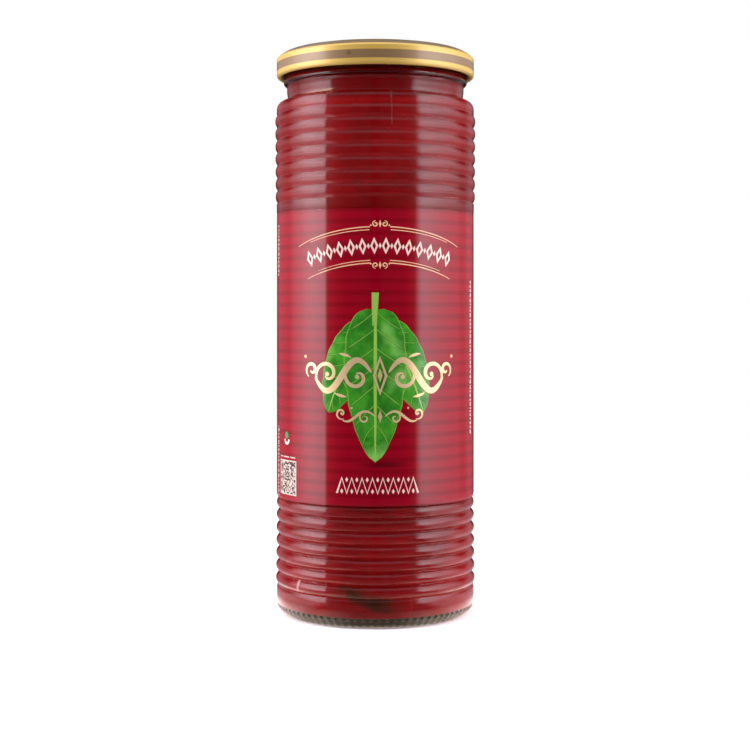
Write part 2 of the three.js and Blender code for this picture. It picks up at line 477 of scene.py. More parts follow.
class Nodes:
    """A tree of nodes, and short ways of adding nodes to it."""

    def __init__(self, tree):
        self.tree = tree

    def feed(self, socket, value):
        if isinstance(value, bpy.types.NodeSocket):
            self.tree.links.new(value, socket)
        else:
            socket.default_value = value

    def node(self, kind, *inputs, out=0, **settings):
        made = self.tree.nodes.new("ShaderNode" + kind)
        for name, value in settings.items():
            setattr(made, name, value)
        for socket, value in zip(made.inputs, inputs):
            self.feed(socket, value)
        return made.outputs[out]

    def maths(self, operation, *inputs):
        return self.node("Math", *inputs, operation=operation)

    def times(self, *inputs):
        return self.maths("MULTIPLY", *inputs)

    def plus(self, *inputs):
        return self.maths("ADD", *inputs)

    def minus(self, *inputs):
        return self.maths("SUBTRACT", *inputs)

    def length(self, *parts):
        """The length of a line with these two parts."""
        squares = [self.times(part, part) for part in parts]
        return self.maths("SQRT", self.plus(*squares))

    def from_middle(self, share):
        """How far a share is from the middle: 0 at a half, and 1 at 0 and 1."""
        return self.times(self.maths("ABSOLUTE", self.minus(share, 0.5)), 2.0)

    def between(self, value, low, high, start=0.0, end=1.0, soft=True):
        """The value taken from a range to another one, held at its ends."""
        kind = "SMOOTHSTEP" if soft else "LINEAR"
        return self.node("MapRange", value, low, high, start, end, interpolation_type=kind)

    def ramp(self, value, low, high, stops, peak=1.0):
        """The strength at a value, from a list of values and strengths. None is over the peak."""
        made = self.tree.nodes.new("ShaderNodeValToRGB")
        self.feed(made.inputs[0], self.between(value, low, high, soft=False))
        elements = made.color_ramp.elements
        elements.remove(elements[1])
        for index, (place, strength) in enumerate(stops):
            where = (place - low) / (high - low)
            stop = elements[0] if index == 0 else elements.new(where)
            stop.position = where
            stop.color = (strength / peak,) * 3 + (1,)
        return made.outputs[0]

    def mixed(self, share, first, second):
        made = self.tree.nodes.new("ShaderNodeMix")
        made.data_type = "RGBA"
        self.feed(made.inputs["Factor"], share)
        self.feed(made.inputs[6], first)
        self.feed(made.inputs[7], second)
        return made.outputs[2]

    def split(self, vector):
        made = self.tree.nodes.new("ShaderNodeSeparateXYZ")
        self.feed(made.inputs[0], vector)
        return tuple(made.outputs)


class Shader(Nodes):
    """A material with one Principled BSDF."""

    def __init__(self, name, **values):
        self.material = bpy.data.materials.new(name)
        self.material.use_nodes = True
        super().__init__(self.material.node_tree)
        self.surface = self.tree.nodes["Principled BSDF"]
        self.vector = self.node("TexCoord", out=3)
        for socket, value in values.items():
            self.set(socket.replace("_", " "), value)

    def set(self, socket, value):
        self.feed(self.surface.inputs[socket], value)

    def place(self):
        """The three parts of the object coordinates."""
        return self.split(self.vector)

    def spot(self):
        """The shares across and along that the mesh gives."""
        return self.split(self.node("TexCoord", out=2))[:2]

    def noise(self, scale, detail=2.0, roughness=0.5):
        made = self.tree.nodes.new("ShaderNodeTexNoise")
        self.feed(made.inputs["Vector"], self.vector)
        made.inputs["Scale"].default_value = scale
        made.inputs["Detail"].default_value = detail
        made.inputs["Roughness"].default_value = roughness
        return made.outputs["Fac"]

    def bump(self, height, strength, distance):
        made = self.tree.nodes.new("ShaderNodeBump")
        made.inputs["Strength"].default_value = strength
        made.inputs["Distance"].default_value = distance
        self.feed(made.inputs["Height"], height)
        self.set("Normal", made.outputs[0])

    def film_relief(self):
        """The slight unevenness of a film on glass."""
        self.bump(self.noise(45.0), 0.1, 0.0003)


def dimmed(colour, share):
    return tuple(part * share for part in colour[:3]) + (1,)


def glass_material():
    shader = Shader("clear_glass", Base_Color=(0.95, 0.97, 0.95, 1), Roughness=0.0, IOR=1.5)
    shader.set("Transmission Weight", 1.0)
    shader.bump(shader.noise(90.0), 0.04, 0.0004)
    return shader.material


SAUCE_RED = (0.33, 0.003, 0.004, 1)
SAUCE_DEEP = (0.26, 0.002, 0.003, 1)
SAUCE_UNDER = (0.080, 0.052, 0.028, 1)
UNDERSIDE_RADIUS = 0.0294
UNDERSIDE_EDGE = 0.0009


def sauce_material():
    shader = Shader("tomato_passata", Roughness=0.5)
    shader.set("Specular IOR Level", 0.03)
    across, depth, height = shader.place()
    cloud = shader.between(shader.noise(60.0, 4.0, 0.6), 0.35, 0.65)
    # Hardly any light reaches the underside
    out = shader.length(across, depth)
    inside = shader.between(out, UNDERSIDE_RADIUS, UNDERSIDE_RADIUS + UNDERSIDE_EDGE, 1.0, 0.0)
    under = shader.times(inside, shader.maths("LESS_THAN", height, PANEL_BOTTOM))
    red = shader.mixed(cloud, SAUCE_DEEP, SAUCE_RED)
    shader.set("Base Color", shader.mixed(under, red, SAUCE_UNDER))
    shader.bump(shader.noise(900.0, 3.0), 0.15, 0.0002)
    return shader.material


LID_GOLD = (0.64, 0.42, 0.086, 1)
LID_TAUPE = (0.24, 0.145, 0.065, 1)
# Painted shade: the top rim of the lid is drawn dark brown and not metallic, so it mirrors less of the light
LID_RIM_SHADE = (0.15, 0.105, 0.05, 1)
RIM_DROP = 0.0020
RIM_EDGE = 0.0004
LID_METAL = 0.27


def lid_material():
    shader = Shader("gold_lacquer", Roughness=0.4)
    shader.set("Coat Weight", 0.5)
    shader.set("Coat Roughness", 0.12)
    across, depth, height = shader.place()
    above = shader.between(height, BAND_BOTTOM - BAND_EDGE, BAND_BOTTOM + BAND_EDGE)
    below = shader.between(height, BAND_TOP - BAND_EDGE, BAND_TOP + BAND_EDGE, 1.0, 0.0)
    band = shader.times(above, below)
    grain = shader.noise(260.0, 3.0)
    gold = shader.mixed(grain, dimmed(LID_GOLD, 0.92), LID_GOLD)
    banded = shader.mixed(band, gold, LID_TAUPE)
    # Painted shade on the raised outer ring on top of the lid: darker colour and no metal
    outside = shader.between(shader.length(across, depth), LID_RING_INNER, LID_RING_INNER + RIM_EDGE)
    high = shader.between(height, LID_TOP - RIM_DROP, LID_TOP - RIM_DROP + RIM_EDGE)
    rim = shader.times(outside, high)
    shader.set("Base Color", shader.mixed(rim, banded, LID_RIM_SHADE))
    shader.set("Metallic", shader.maths("MULTIPLY_ADD", rim, -LID_METAL, LID_METAL))
    shader.bump(shader.noise(1400.0), 0.05, 0.0001)
    return shader.material


STRIPE_BRIGHT = (0.255, 0.0006, 0.010, 1)
STRIPE_DARK = (0.198, 0.0005, 0.0065, 1)
# The soft printed shadow under the tip of the leaf
SHADOW_RED = (0.045, 0.0005, 0.002, 1)
SHADOW_RUN = 0.003
SHADOW_HEIGHT = 0.0551
SHADOW_HALF_WIDTH = 0.0115
SHADOW_HALF_HEIGHT = 0.0016


def label_material():
    shader = Shader("label_film", Roughness=0.06)
    across, depth, height = shader.place()
    rise = shader.minus(height, STRIPE_START)
    phase = shader.times(rise, 2 * math.pi / STRIPE_PITCH)
    wave = shader.maths("MULTIPLY_ADD", shader.maths("COSINE", phase), 0.5, 0.5)
    stripes = shader.mixed(shader.between(wave, 0.1, 0.6), STRIPE_DARK, STRIPE_BRIGHT)
    turn = shader.maths("ARCTAN2", across, shader.times(depth, -1.0))
    run = shader.times(turn, LABEL_RADIUS)
    aside = shader.maths("DIVIDE", shader.minus(run, SHADOW_RUN), SHADOW_HALF_WIDTH)
    above = shader.maths("DIVIDE", shader.minus(height, SHADOW_HEIGHT), SHADOW_HALF_HEIGHT)
    shadow = shader.between(shader.length(aside, above), 0.1, 1.0, 0.75, 0.0)
    shader.set("Base Color", shader.mixed(shadow, stripes, SHADOW_RED))
    shader.film_relief()
    return shader.material


SUNK_GREEN = (0.072, 0.012, 0.003, 1)
ORANGE_LINE_COLOUR = (0.62, 0.24, 0.03, 1)
# Painted highlight: a small bubble against the glass is drawn as a pale pink patch, for the light the bubble
# would catch
BUBBLE_HIGHLIGHT_PINK = (0.70, 0.34, 0.32, 1)
# Painted highlight: the clear glass ridge of the mould seam is drawn in an opaque pale pink, for the light it
# catches over the sauce
SEAM_HIGHLIGHT_PINK = (0.28, 0.05, 0.05, 1)
LID_MARK = (0.12, 0.075, 0.04, 1)
CREAM = (0.90, 0.66, 0.56, 1)
PEACH = (0.88, 0.52, 0.30, 1)
PANEL_CREAM = (0.60, 0.47, 0.41, 1)
CODE_DARK = (0.06, 0.035, 0.03, 1)
ICON_GREEN = (0.03, 0.28, 0.10, 1)
FOIL_GOLD = (0.93, 0.68, 0.36, 1)
LEAF_DEEP = (0.018, 0.15, 0.010, 1)
LEAF_MIDDLE = (0.055, 0.31, 0.020, 1)
LEAF_PALE = (0.26, 0.60, 0.13, 1)
LEAF_VEIN = (0.28, 0.50, 0.08, 1)


def ink_material(name, colour):
    shader = Shader(name, Roughness=0.06)
    cloud = shader.noise(700.0, 3.0)
    shader.set("Base Color", shader.mixed(cloud, dimmed(colour, 0.86), colour))
    shader.film_relief()
    return shader.material


def foil_material():
    shader = Shader("gold_foil", Metallic=0.55, Roughness=0.32)
    cloud = shader.noise(500.0, 3.0)
    shader.set("Base Color", shader.mixed(cloud, dimmed(FOIL_GOLD, 0.85), FOIL_GOLD))
    shader.bump(shader.noise(2500.0), 0.08, 0.0001)
    return shader.material


def leaf_material():
    """A green leaf, with its midrib halfway across."""
    shader = Shader("leaf_print", Roughness=0.06)
    across, along = shader.spot()
    aside = shader.from_middle(across)
    cloud = shader.between(shader.noise(190.0, 4.0, 0.6), 0.32, 0.7)
    patches = shader.between(shader.noise(75.0), 0.5, 0.72)
    body = shader.mixed(cloud, LEAF_DEEP, LEAF_MIDDLE)
    body = shader.mixed(shader.times(patches, 0.7), body, LEAF_PALE)
    climb = shader.minus(along, shader.times(aside, 0.16))
    wave = shader.maths("ABSOLUTE", shader.maths("SINE", shader.times(climb, math.pi * 8)))
    shade = shader.between(wave, 0.08, 0.45, 0.5, 0.0)
    body = shader.mixed(shade, body, LEAF_DEEP)
    vein = shader.between(wave, 0.0, 0.16, 0.75, 0.0)
    fading = shader.between(aside, 0.75, 0.98, 1.0, 0.0)
    body = shader.mixed(shader.times(vein, fading), body, LEAF_VEIN)
    midrib = shader.between(aside, 0.03, 0.075, 1.0, 0.0)
    rim = shader.between(aside, 0.94, 0.99, 0.0, 0.55)
    body = shader.mixed(shader.maths("MAXIMUM", midrib, rim), body, LEAF_VEIN)
    shader.set("Base Color", body)
    shader.film_relief()
    return shader.material


def sunk_material(name, colour, soft):
    """A colour that fades into the sauce at its edges."""
    shader = Shader(name, Roughness=0.5)
    shader.set("Specular IOR Level", 0.03)
    across, along = shader.spot()
    cloud = shader.times(shader.noise(260.0, 3.0), 0.5)
    edge = shader.maths("MAXIMUM", shader.from_middle(across), shader.from_middle(along))
    reach = shader.plus(edge, shader.minus(cloud, 0.25))
    shader.set("Base Color", shader.mixed(shader.between(reach, 1 - soft, 1.0), colour, SAUCE_RED))
    return shader.material


# Camera, light and floor

def add_camera():
    data = bpy.data.cameras.new("photo_camera")
    data.lens = CAMERA_LENS
    data.sensor_width = CAMERA_SENSOR
    data.shift_x, data.shift_y = CAMERA_SHIFT
    data.clip_start, data.clip_end = CAMERA_CLIP
    holder = bpy.data.objects.new("photo_camera", data)
    holder.location = (0, -CAMERA_DISTANCE, CAMERA_HEIGHT)
    holder.rotation_euler = (math.radians(90), 0, 0)
    bpy.context.scene.collection.objects.link(holder)
    bpy.context.scene.camera = holder


# Light by direction: degrees round from the front, positive to the right, and light at eye level.
# Above and below eye level the lights lean back, so that their edges mirror as upright lines.
LIGHT_ROUND = (
    (-180, 0.1), (-162, 0.1), (-148, 0.35), (-132, 0.45), (-117, 0.6), (-97, 2.4), (-86, 3.9), (-76, 4.7),
    (-66, 4.4), (-60.5, 4.3), (-57, 0.4), (-46, 0.17), (-35, 0.07), (-6, 0.07), (-5, 0.01), (5, 0.01),
    (6, 0.07), (35, 0.07), (46, 0.25), (54, 3.9), (60, 3.8), (67, 3.4), (76, 2.8), (86, 2.2), (97, 1.6),
    (108, 1.2), (118, 0.65), (128, 0.5), (134, 0.6), (148, 0.4), (162, 0.12), (180, 0.1),
)
LIGHT_PEAK = 5.0
# Share of that light by height above the horizon, in degrees
LIGHT_UP = (
    (-90, 0.1), (-20, 0.45), (-8, 0.6), (0, 0.8), (6, 1.0), (20, 1.2), (38, 1.0), (50, 0.6), (70, 0.35),
    (90, 0.1),
)
UP_PEAK = 2.0
# Light from above, the same all round
LIGHT_ABOVE = ((-90, 0.0), (40, 0.0), (60, 0.55), (90, 0.55))
# What is dark: the room behind and above, by depth along the view and by height
DARK_BEHIND = ((-1, 0.0), (0.3, 0.0), (0.6, 0.93), (1, 0.93))
DARK_ABOVE = ((-90, 0.0), (9, 0.0), (24, 1.0), (90, 1.0))
# Straight behind the jar, where the degrees round run together in a line, it is dark at every height
DARK_STRAIGHT = ((-1, 0.0), (0.93, 0.0), (0.96, 0.95), (1, 0.95))
LIGHT_COLOUR = (1.0, 0.975, 1.045, 1)
BACKDROP = 1.0
BACKDROP_COLOUR = (1, 1, 1, 1)
# How much stronger the light is on surfaces than in their mirror reflections
SOFT_LIGHT = 2.0


def add_light():
    made = bpy.data.worlds.new("studio")
    bpy.context.scene.world = made
    made.use_nodes = True
    nodes = Nodes(made.node_tree)
    x, y, z = nodes.split(nodes.node("TexCoord"))
    half_turn = nodes.maths("DEGREES", nodes.maths("ARCTAN2", x, nodes.minus(1.0, y)))
    around = nodes.ramp(nodes.times(half_turn, 2.0), -180, 180, LIGHT_ROUND, LIGHT_PEAK)
    rise = nodes.maths("DEGREES", nodes.maths("ARCSINE", z))
    upwards = nodes.ramp(rise, -90, 90, LIGHT_UP, UP_PEAK)
    boxes = nodes.times(nodes.times(around, upwards), LIGHT_PEAK * UP_PEAK)
    light = nodes.plus(boxes, nodes.ramp(rise, -90, 90, LIGHT_ABOVE))
    behind = nodes.ramp(y, -1, 1, DARK_BEHIND)
    dark = nodes.times(behind, nodes.ramp(rise, -90, 90, DARK_ABOVE))
    dark = nodes.maths("MAXIMUM", dark, nodes.ramp(y, -1, 1, DARK_STRAIGHT))
    light = nodes.times(light, nodes.minus(1.0, dark))
    path = nodes.tree.nodes.new("ShaderNodeLightPath").outputs
    mirror = nodes.times(path["Is Glossy Ray"], path["Is Reflection Ray"])
    soft = nodes.minus(SOFT_LIGHT, nodes.times(mirror, SOFT_LIGHT - 1))
    seen = path["Is Camera Ray"]
    plain = nodes.times(seen, BACKDROP)
    unseen = nodes.minus(1.0, seen)
    lit = nodes.times(nodes.times(unseen, light), soft)
    background = nodes.tree.nodes["Background"]
    nodes.feed(background.inputs["Strength"], nodes.plus(plain, lit))
    nodes.feed(background.inputs["Color"], nodes.mixed(seen, LIGHT_COLOUR, BACKDROP_COLOUR))


FLOOR_RADIUS = 0.35
FLOOR_SIDES = 96
# What the camera sees of the floor
FLOOR_PALE = (0.97, 0.97, 0.97, 1)
# What the floor gives to light and reflections, by degrees round from the front
FLOOR_ROUND = ((0, 0.09), (48, 0.1), (62, 0.9), (100, 0.8), (125, 0.35), (180, 0.2))
# Light that comes through the glass foot onto the floor under it, and lies on the floor round it
UNDER_RADIUS = 0.033
UNDER_GLOW = 0.85
ROUND_GLOW = 1.7
ROUND_FADE = (0.038, 0.056)
GLOW_ROUND = ((0, 0.08), (14, 0.12), (24, 0.5), (36, 1.0), (95, 0.9), (130, 0.3), (180, 0.2))
GLOW_COLOUR = (1.0, 0.86, 0.74, 1)
UNDER_COLOUR = (1.0, 0.9, 0.74, 1)


def add_floor():
    shader = Shader("pale_floor", Roughness=0.9)
    shader.set("Specular IOR Level", 0.0)
    x, y, _ = shader.place()
    front = shader.times(y, -1.0)
    turn = shader.maths("DEGREES", shader.maths("ARCTAN2", shader.maths("ABSOLUTE", x), front))
    reach = shader.length(x, y)
    seen = shader.tree.nodes.new("ShaderNodeLightPath").outputs["Is Camera Ray"]
    shader.set("Base Color", shader.mixed(seen, shader.ramp(turn, 0, 180, FLOOR_ROUND), FLOOR_PALE))
    under = shader.maths("LESS_THAN", reach, UNDER_RADIUS)
    fade = shader.between(reach, *ROUND_FADE, ROUND_GLOW, 0.0, soft=False)
    beside = shader.times(fade, shader.ramp(turn, 0, 180, GLOW_ROUND))
    beside = shader.times(beside, shader.minus(1.0, under))
    glow = shader.plus(shader.times(under, UNDER_GLOW), beside)
    unseen = shader.minus(1.0, seen)
    shader.set("Emission Strength", shader.times(unseen, glow))
    shader.set("Emission Color", shader.mixed(under, GLOW_COLOUR, UNDER_COLOUR))
    points = [(0, 0, 0)]
    for side in range(FLOOR_SIDES):
        angle = 2 * math.pi * side / FLOOR_SIDES
        points.append((FLOOR_RADIUS * math.cos(angle), FLOOR_RADIUS * math.sin(angle), 0))
    faces = [(0, side + 1, (side + 1) % FLOOR_SIDES + 1) for side in range(FLOOR_SIDES)]
    new_object("floor", points, faces, shader.material, smooth=False)


# Pieces

def knurled(radius, height, angle):
    """Small upright knurls round the foot, and the radius as it is elsewhere."""
    if height > KNURL_TOP or radius < KNURL_INNER:
        return radius
    share = smooth_step(0, KNURL_FADE, KNURL_TOP - height) * smooth_step(0, KNURL_FADE, radius - KNURL_INNER)
    return radius + KNURL_DEPTH * share * (0.5 + 0.5 * math.cos(KNURL_COUNT * angle))


def label_film(material):
    """The label, wrapped once round the glass with one end lapped over the other at the back."""
    start = SEAM_ANGLE - 2 * math.pi
    sweep = 2 * math.pi + SEAM_OVERLAP
    rows = [
        (LABEL_BOTTOM, LABEL_EDGE),
        (LABEL_BOTTOM + LABEL_EDGE, 0.0),
        (LABEL_TOP - LABEL_EDGE, 0.0),
        (LABEL_TOP, LABEL_EDGE),
    ]
    points = []
    normals = []
    for column in range(LABEL_SIDES + 1):
        turn = sweep * column / LABEL_SIDES
        angle = start + turn
        lift = SEAM_LIFT * smooth_step(2 * math.pi - SEAM_STEP, 2 * math.pi, turn)
        outer = LABEL_RADIUS - SEAM_LIFT + lift
        inner = outer - (LABEL_FILM - SEAM_LIFT)
        for height, inset in rows:
            points.append(turned_to(angle, outer - inset, height))
        for height in (LABEL_TOP, LABEL_BOTTOM):
            points.append(turned_to(angle, inner, height))
        normals += [turned_to(angle, 1, 0)] * len(rows)
        normals += [turned_to(angle, -1, 0)] * 2
    ring = len(rows) + 2
    faces = []
    for column in range(LABEL_SIDES):
        low = column * ring
        for row in range(ring):
            after = (row + 1) % ring
            faces.append((low + row, low + ring + row, low + ring + after, low + after))
    faces.append(tuple(range(ring)))
    faces.append(tuple(reversed(range(LABEL_SIDES * ring, LABEL_SIDES * ring + ring))))
    return new_object("label_film", points, faces, material, normals=normals)


# Print

def wrapped(run, height, radius):
    """The point on a round face, from millimetres round and up."""
    return turned_to(run / 1000 / LABEL_RADIUS, radius, height / 1000)


def mirrored(path):
    return [(2 * PRINT_MIDDLE - run, height) for run, height in path]


def arched(half, low, top, start=-1.0, end=1.0, steps=48):
    """Part of a round arch over the middle of the print, from one share of its half span to another."""
    rise = top - low
    radius = (half * half + rise * rise) / 2 / rise
    path = []
    for i in range(steps + 1):
        across = half * lerp(start, end, i / steps)
        path.append((PRINT_MIDDLE + across, top - radius + math.sqrt(radius * radius - across * across)))
    return path


def scroll(middle, reach, turn, steps=40):
    """A spiral, from one reach and turn in degrees to another, to the right of the middle of the print."""
    path = []
    for i in range(steps + 1):
        angle = math.radians(lerp(*turn, i / steps))
        out = lerp(*reach, i / steps)
        path.append((PRINT_MIDDLE + middle[0] + out * math.cos(angle), middle[1] + out * math.sin(angle)))
    return path


def wave(start, reach, height, swing, zero, length, steps):
    """A wave to the right of the middle of the print, which crosses its height at zero."""
    path = []
    for i in range(steps + 1):
        across = start + reach * i / steps
        rise = swing * math.sin(2 * math.pi * (across - zero) / length)
        path.append((PRINT_MIDDLE + across, height + rise))
    return path


def sprig(across, height, side):
    """A small leaf that grows up and outwards from its foot, or down and inwards for a side of -1."""
    run = PRINT_MIDDLE + across
    return [(run + side * i * 0.35, height + side * math.sqrt(i) * 0.45) for i in range(13)]


def swelled(path, thin, thick, power=0.8):
    """Widths along a path, thick in the middle and thin at its ends."""
    last = len(path) - 1
    return [lerp(thin, thick, max(math.sin(math.pi * i / last), 0) ** power) for i in range(last + 1)]


def lozenge(run, height, half_width, half_height, tilt=0.0):
    corners = ((half_width, 0), (0, half_height), (-half_width, 0), (0, -half_height))
    turn, rise = math.cos(tilt), math.sin(tilt)
    return [(run + x * turn - y * rise, height + x * rise + y * turn) for x, y in corners]


def disc(run, height, radius, sides=14):
    turns = [2 * math.pi * side / sides for side in range(sides)]
    return [(run + radius * math.cos(turn), height + radius * math.sin(turn)) for turn in turns]


class Print:
    """Flat shapes of one ink, which become thin solids on the face of the label."""

    def __init__(self):
        self.points = []
        self.faces = []
        self.places = []

    def add(self, points, faces, places=None):
        first = len(self.points)
        self.points += points
        self.faces += [tuple(first + corner for corner in face) for face in faces]
        self.places += places or [(0.5, 0.5)] * len(points)

    def strip(self, path, widths):
        """A line along a path, with its width at each point."""
        points = []
        for index, (run, height) in enumerate(path):
            before = path[max(index - 1, 0)]
            after = path[min(index + 1, len(path) - 1)]
            along = (after[0] - before[0], after[1] - before[1])
            half = widths[index] / 2 / math.hypot(*along)
            points.append((run + along[1] * half, height - along[0] * half))
            points.append((run - along[1] * half, height + along[0] * half))
        faces = [(low, low + 2, low + 3, low + 1) for low in range(0, 2 * len(path) - 2, 2)]
        self.add(points, faces)

    def pair(self, path, thin, thick, power=0.8):
        """A swelling line and its mirror image."""
        widths = swelled(path, thin, thick, power)
        self.strip(path, widths)
        self.strip(mirrored(path), widths)

    def patch(self, outline):
        """A small filled shape, fanned from its middle."""
        count = len(outline)
        middle = tuple(sum(parts) / count for parts in zip(*outline))
        self.add([middle] + outline, [(0, side + 1, (side + 1) % count + 1) for side in range(count)])

    def spots(self, run, height, radius):
        """A dot and its mirror image."""
        for side in (1, -1):
            self.patch(disc(PRINT_MIDDLE + side * run, height, radius))

    def ring(self, outer, inner):
        """The band between two outlines with as many points."""
        count = len(outer)
        sides = [(side, (side + 1) % count) for side in range(count)]
        self.add(outer + inner, [(a, b, count + b, count + a) for a, b in sides])

    def sheet(self, left, right, low, high):
        """An upright rectangle, in columns that follow the round of the label."""
        columns = max(1, math.ceil((right - left) / 2))
        points = []
        for column in range(columns + 1):
            run = lerp(left, right, column / columns)
            points += [(run, low), (run, high)]
        self.add(points, [(c, c + 2, c + 3, c + 1) for c in range(0, 2 * columns, 2)])

    def leaf(self, base, lean, length, half_width, curve, fullness=0.42):
        """A leaf that hangs from its base, leaning by degrees to the right."""
        out, down = math.sin(math.radians(lean)), -math.cos(math.radians(lean))
        peak = fullness ** fullness * (1 - fullness) ** (1 - fullness)
        points = []
        places = []
        for row in range(LEAF_ROWS + 1):
            along = 0.004 + 0.996 * row / LEAF_ROWS
            swell = along ** fullness * max(1 - along, 0.0) ** (1 - fullness) / peak
            wide = half_width * swell * (1 + 0.018 * math.sin(along * 41)) + 0.02
            bend = curve * math.sin(math.pi * along)
            for column in range(LEAF_COLUMNS + 1):
                share = 2 * column / LEAF_COLUMNS - 1
                aside = bend + share * wide
                droop = length * along - 0.9 * share * share * swell
                points.append((base[0] + out * droop - down * aside, base[1] + down * droop + out * aside))
                places.append((column / LEAF_COLUMNS, along))
        self.add(points, grid(LEAF_ROWS, LEAF_COLUMNS), places)

    def made(self, name, slot, material, lift=PRINT_LIFT, base=LABEL_RADIUS - SEAM_LIFT):
        """The shapes as one piece, raised above a round face with the base's radius."""
        points = [wrapped(*place, base + lift) for place in self.points]
        outwards = [Vector((x, y, 0)).normalized() for x, y, _ in points]
        normals = [tuple(normal) for normal in outwards] + [tuple(-normal) for normal in outwards]
        points += [wrapped(*place, base - PRINT_SINK) for place in self.points]
        faces = closed(self.faces, len(self.points))
        piece = new_object(name, points, faces, material, normals=normals)
        set_places(piece, self.places)
        finished(piece, slot)


def tilted_at(path, index):
    """The slope of a path at one of its points, as an angle."""
    before = path[max(index - 1, 0)]
    after = path[min(index + 1, len(path) - 1)]
    return math.atan2(after[1] - before[1], after[0] - before[0])


def arch_print():
    """The double arches, with small ornaments in their gaps."""
    lines = Print()
    for half, low, top, gap, width in ARCHES:
        path = arched(half, low, top, gap, 1.0, ARCH_STEPS)
        widths = [lerp(width, width * 0.4, (i / ARCH_STEPS) ** 2) for i in range(ARCH_STEPS + 1)]
        lines.strip(path, widths)
        lines.strip(mirrored(path)[::-1], widths[::-1])
    for height, side in ARCH_ORNAMENTS:
        lines.patch(lozenge(PRINT_MIDDLE, height, 0.45, 1.3))
        lines.pair(scroll((1.55, height), (1.05, 0.25), (90 * side, -330 * side)), 0.2, 0.42)
        lines.spots(3.1, height - side * 0.5, 0.28)
    return lines


def foil_print():
    """The broad ornament over the leaves, the flourish below it and the frame of the panel at the back."""
    gold = Print()
    middle = (PRINT_MIDDLE, ORNAMENT_HEIGHT)
    gold.ring(lozenge(*middle, 2.5, 6.6), lozenge(*middle, 1.6, 4.9))
    gold.patch(lozenge(*middle, 0.8, 2.4))
    gold.pair(wave(2.9, 20.4, ORNAMENT_HEIGHT, 5.2, 2.2, 21.6, 60), 0.3, 2.3, 0.5)
    for middle, reach, turn, widths in ORNAMENT_SCROLLS:
        gold.pair(scroll(middle, reach, turn), *widths)
    gold.pair(sprig(9.8, 90.6, 1), 0.1, 1.0)
    gold.pair(sprig(15.6, 79.2, -1), 0.1, 1.0)
    for spot in ORNAMENT_SPOTS:
        gold.spots(*spot)
    gold.patch(lozenge(PRINT_MIDDLE, FLOURISH_HEIGHT, 0.75, 2.1))
    gold.pair(wave(1.6, 11.2, FLOURISH_HEIGHT, 1.7, 1.6, 13.0, 40), 0.2, 0.95, 0.6)
    for middle, reach, turn, widths in FLOURISH_SCROLLS:
        gold.pair(scroll(middle, reach, turn), *widths)
    for spot in FLOURISH_SPOTS:
        gold.spots(*spot)
    left, right, low, high = BACK_PANEL
    for top in (low, high - BACK_FRAME):
        gold.sheet(left, right, top, top + BACK_FRAME)
    for side in (left, right - BACK_FRAME):
        gold.sheet(side, side + BACK_FRAME, low + BACK_FRAME, high - BACK_FRAME)
    return gold


def text_like(ink, left, right, height, tall, draw):
    """A row of short bars, as long as words are."""
    run = left
    while run < right - 1.5:
        word = min(draw.uniform(1.6, 5.6), right - run)
        ink.sheet(run, run + word, height, height + tall)
        run += word + 0.8


def cream_print():
    """The lozenges, the zigzag, the icon's bowl, the rows at the sides and what is on the back's panel."""
    cream = Print()
    draw = random.Random(21)
    row = arched(*LOZENGE_ROW, steps=LOZENGE_STEPS)
    for index in range(0, LOZENGE_STEPS + 1, 4):
        run, height = row[index]
        tilt = tilted_at(row, index)
        cream.ring(lozenge(run, height, 1.35, 2.85, tilt), lozenge(run, height, 0.6, 1.5, tilt))
    for index in range(2, LOZENGE_STEPS + 1, 4):
        cream.patch(lozenge(*row[index], 0.5, 1.0, tilted_at(row, index)))
    zigzag = []
    for index in range(ZIGZAG_POINTS):
        run = ZIGZAG_MIDDLE + ZIGZAG_STEP * (index - ZIGZAG_POINTS // 2)
        zigzag.append((run, ZIGZAG_BOTTOM + ZIGZAG_RISE * (index % 2)))
    cream.strip(zigzag, [0.75] * len(zigzag))
    for index in range(1, ZIGZAG_POINTS - 1):
        cream.patch(lozenge(zigzag[index][0], ZIGZAG_LOZENGES[(index + 1) % 2], 0.5, 0.85))
    bowl = arc((ICON_RUN, ICON_BOWL), 1.5, 1.5, 180, 360, 12)
    cream.strip(bowl, [0.9] * len(bowl))
    for run, low, high in SIDE_ROWS:
        height = low
        while height < high:
            tall = draw.uniform(0.5, 1.5)
            cream.sheet(run - 0.42, run + 0.42, height, min(height + tall, high))
            height += tall + 0.45
    left, right, low, high = BACK_PANEL
    left += BACK_MARGIN
    right -= BACK_MARGIN
    cream.sheet(left, right, high - 6.2, high - 4.2)
    for index in range(BACK_ROWS):
        text_like(cream, left, right, high - 10 - BACK_ROW_STEP * index, 0.8, draw)
    for index in range(TABLE_ROWS):
        height = low + BACK_MARGIN + TABLE_ROW_STEP * index
        cream.sheet(left, right, height, height + 0.22)
        cream.sheet(left, left + draw.uniform(6, 13), height + 0.9, height + 1.7)
        cream.sheet(right - draw.uniform(3, 6), right, height + 0.9, height + 1.7)
    return cream


def panel_print():
    """The pale panels under the squares and the bars, and a row of short bars over the first."""
    panels = Print()
    panels.sheet(*CODE_PANEL)
    panels.sheet(*BAR_PANEL)
    text_like(panels, *CODE_LINE, 0.4, random.Random(3))
    return panels


def dark_print():
    """Squares and upright bars drawn by chance, which encode nothing."""
    dark = Print()
    draw = random.Random(5)
    left, _, low, _ = CODE_PANEL
    for row in range(CODE_CELLS):
        for column in range(CODE_CELLS):
            if draw.random() < 0.47:
                run = left + CODE_MARGIN[0] + column * CODE_STEP
                height = low + CODE_MARGIN[1] + row * CODE_STEP
                dark.sheet(run, run + CODE_STEP, height, height + CODE_STEP)
    left, right, low, high = BAR_PANEL
    run = left + 2.0
    while run < right - 2.5:
        width = draw.choice((0.3, 0.3, 0.6, 0.9))
        dark.sheet(run, run + width, low + 1.5, high - 1.5)
        run += width + draw.choice((0.3, 0.6, 0.9))
    return dark


